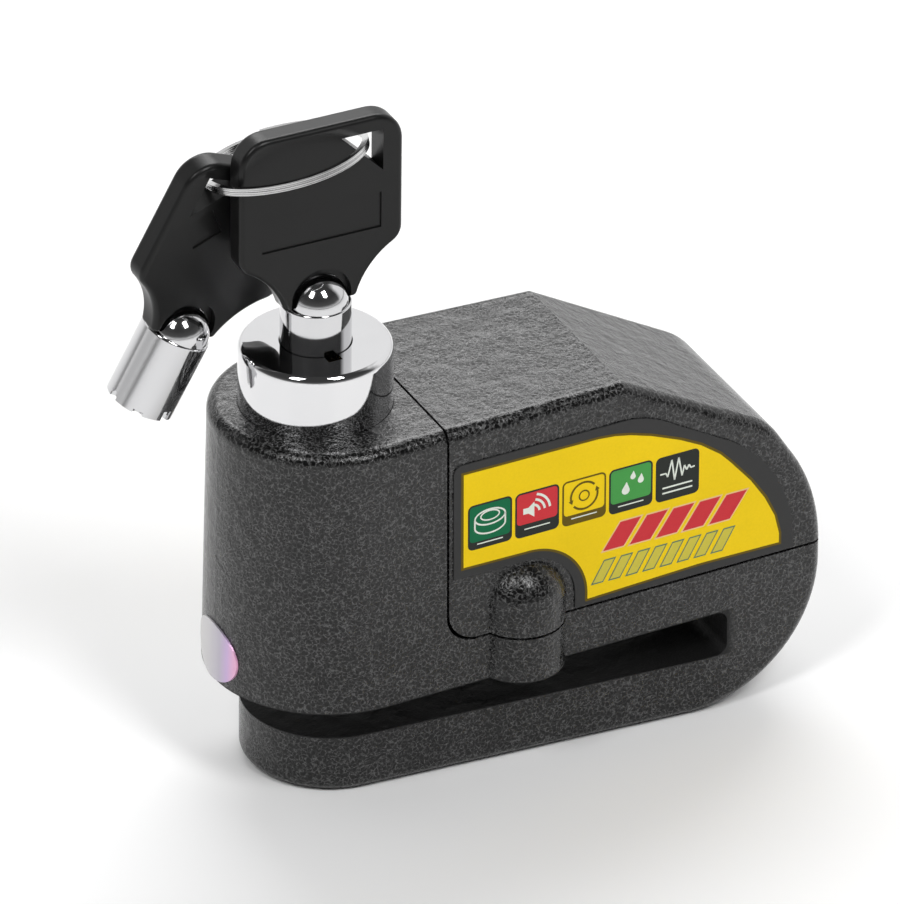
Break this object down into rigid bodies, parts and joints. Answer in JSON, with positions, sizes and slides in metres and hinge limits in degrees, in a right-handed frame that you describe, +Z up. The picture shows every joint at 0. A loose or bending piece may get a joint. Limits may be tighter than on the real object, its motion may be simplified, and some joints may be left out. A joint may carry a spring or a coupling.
{
  "type": "motorcycle disc brake lock",
  "caption": "Motorcycle disc brake lock with a shock alarm: cast body with a disc slot, push-down chrome plunger and tubular keys on a split ring.",
  "frame": {"origin": "where the plunger's axis meets the flat base of the lower arm", "axes": "+Z up along the plunger's axis, +X from the round nose to the rear of the casting; the casting is symmetric about Y = 0"},
  "size_m": [0.1078, 0.0446, 0.109],
  "materials": {
    "cast_paint": "hammered semi-gloss black paint over zinc casting",
    "chrome_plunger": "bright chrome plate with fine turning marks",
    "key_metal": "nickel plate, lightly scratched",
    "key_plastic": "satin black moulding",
    "ring_steel": "nickel-plated spring steel",
    "label_print": "printed yellow label with a dark border",
    "badge_print": "printed oval badge, grey to pink",
    "rubber_seal": "matt black rubber",
    "hardened_steel": "ground hardened steel",
    "screw_steel": "black-oxide screws",
    "spring_steel": "drawn spring steel",
    "lock_brass": "machined brass",
    "inner_plastic": "black moulding",
    "siren_plastic": "black moulding",
    "board_laminate": "green solder mask",
    "cell_case": "bright steel cans",
    "winding": "enamelled copper winding",
    "sensor_can": "small steel can"
  },
  "bodies": {
    "lock_body": {"main_body": "cast_paint", "alarm_cover": "cast_paint", "cover_gasket": "rubber_seal", "cover_screws": "screw_steel", "front_badge": "badge_print", "side_label_near": "label_print", "side_label_far": "label_print", "arming_switch": "inner_plastic", "pin_bush": "hardened_steel", "pin_socket": "hardened_steel", "plunger_stop_screw": "screw_steel", "plunger_seal": "rubber_seal", "alarm_case": "inner_plastic", "siren": "siren_plastic", "circuit_board": "board_laminate", "control_chip": "siren_plastic", "siren_transformer": "winding", "shock_sensor": "sensor_can", "battery_cells": "cell_case", "battery_holder": "inner_plastic", "battery_contact_plate": "spring_steel", "battery_springs": "spring_steel", "battery_spring_plate": "spring_steel", "return_spring": "spring_steel"},
    "plunger": {"plunger_shell": "chrome_plunger", "lock_housing": "lock_brass", "driver_block": "lock_brass", "driver_block_pin": "hardened_steel", "driver_pins": "lock_brass", "driver_springs": "spring_steel", "pin_carrier": "hardened_steel", "carrier_pins": "hardened_steel", "locking_pin": "hardened_steel"},
    "key_plug": {"key_plug": "lock_brass", "key_pins": "lock_brass", "lock_spindle": "lock_brass", "bayonet_cam": "hardened_steel", "cam_screw": "screw_steel"},
    "key": {"key_shank": "key_metal", "key_head": "key_plastic"},
    "key_ring": {"split_ring": "ring_steel"},
    "spare_key": {"spare_key_shank": "key_metal", "spare_key_head": "key_plastic"},
    "switch_button": {"arming_switch_button": "inner_plastic"}
  },
  "joints": [
    {"name": "plunger_slide", "type": "slide", "parent": "lock_body", "child": "plunger", "axis": [0, 0, -1], "range_m": [0, 0.0088], "stiffness_N_per_m": 400, "springref_m": -0.012, "deforming": ["return_spring"]},
    {"name": "key_turn", "type": "hinge", "parent": "plunger", "child": "key_plug", "pos_m": [0, 0, 0.06], "axis": [0, 0, 1], "range_deg": [0, 90]},
    {"name": "key_withdraw", "type": "slide", "parent": "key_plug", "child": "key", "axis": [0, 0, 1], "range_m": [0, 0.03]},
    {"name": "ring_swing", "type": "hinge", "parent": "key", "child": "key_ring", "pos_m": [0.00805, 0, 0.10455], "axis": [0.3164, 0.9294, -0.1901], "range_deg": [0, 50]},
    {"name": "spare_key_swing", "type": "hinge", "parent": "key_ring", "child": "spare_key", "pos_m": [-0.01563, 0.00449, 0.10031], "axis": [0.1175, 0.9671, -0.2257], "range_deg": [0, 15]},
    {"name": "switch_press", "type": "slide", "parent": "lock_body", "child": "switch_button", "axis": [0, 0, -1], "range_m": [0, 0.0008]}
  ],
  "couplings": [
    {"joint": "switch_press", "follows": "plunger_slide", "ratio": 0.09}
  ]
}
